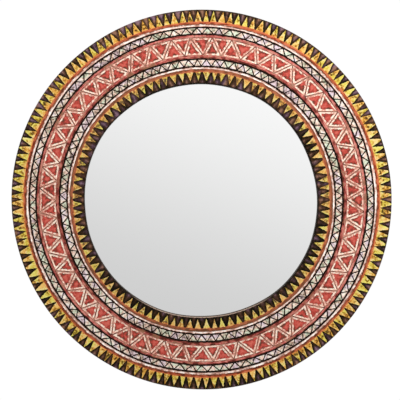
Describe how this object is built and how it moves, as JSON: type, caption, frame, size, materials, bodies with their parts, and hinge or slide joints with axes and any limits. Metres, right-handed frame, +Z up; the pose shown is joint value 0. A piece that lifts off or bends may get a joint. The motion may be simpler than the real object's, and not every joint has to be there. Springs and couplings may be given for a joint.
{
  "type": "round wall mirror",
  "caption": "Round wall mirror: a flat glass disc in a wide, chip-carved and painted wooden ring, with a screwed back, strap hangers with swinging rings and rubber wall bumpers.",
  "frame": {"origin": "on the wall plane, the plane of the bumpers' outer faces, straight behind the centre of the glass", "axes": "+Y out of the back into the wall, so that the front faces -Y; +Z up; +X to the right as the viewer sees it"},
  "size_m": [0.5, 0.026, 0.5],
  "materials": {
    "painted_wood": "carved, hand-painted and rubbed back, dull",
    "beech": "pressed, unfinished",
    "mirror_glass": "polished float glass, silvered on the back",
    "foam_sheet": "soft closed-cell foam",
    "plywood": "sanded, unfinished",
    "zinc_screws": "zinc plated",
    "hanger_steel": "nickel plated, satin",
    "bumper_rubber": "matt"
  },
  "bodies": {
    "mirror": {"frame_segment_top": "painted_wood", "frame_segment_upper_right": "painted_wood", "frame_segment_right": "painted_wood", "frame_segment_lower_right": "painted_wood", "frame_segment_bottom": "painted_wood", "frame_segment_lower_left": "painted_wood", "frame_segment_left": "painted_wood", "frame_segment_upper_left": "painted_wood", "joint_biscuits": "beech", "mirror_glass": "mirror_glass", "cushion_sheet": "foam_sheet", "backing_board": "plywood", "backing_screws": "zinc_screws", "hanger_strap_left": "hanger_steel", "hanger_screws_left": "zinc_screws", "hanger_strap_right": "hanger_steel", "hanger_screws_right": "zinc_screws", "wall_bumper_left": "bumper_rubber", "wall_bumper_right": "bumper_rubber"},
    "left_ring": {"hanger_ring_left": "hanger_steel"},
    "right_ring": {"hanger_ring_right": "hanger_steel"}
  },
  "joints": [
    {"name": "left_ring_swing", "type": "hinge", "parent": "mirror", "child": "left_ring", "pos_m": [-0.14631, -0.00365, 0.15418], "axis": [1, 0, 0], "range_deg": [0, 175]},
    {"name": "right_ring_swing", "type": "hinge", "parent": "mirror", "child": "right_ring", "pos_m": [0.14631, -0.00365, 0.15418], "axis": [1, 0, 0], "range_deg": [0, 175]}
  ]
}
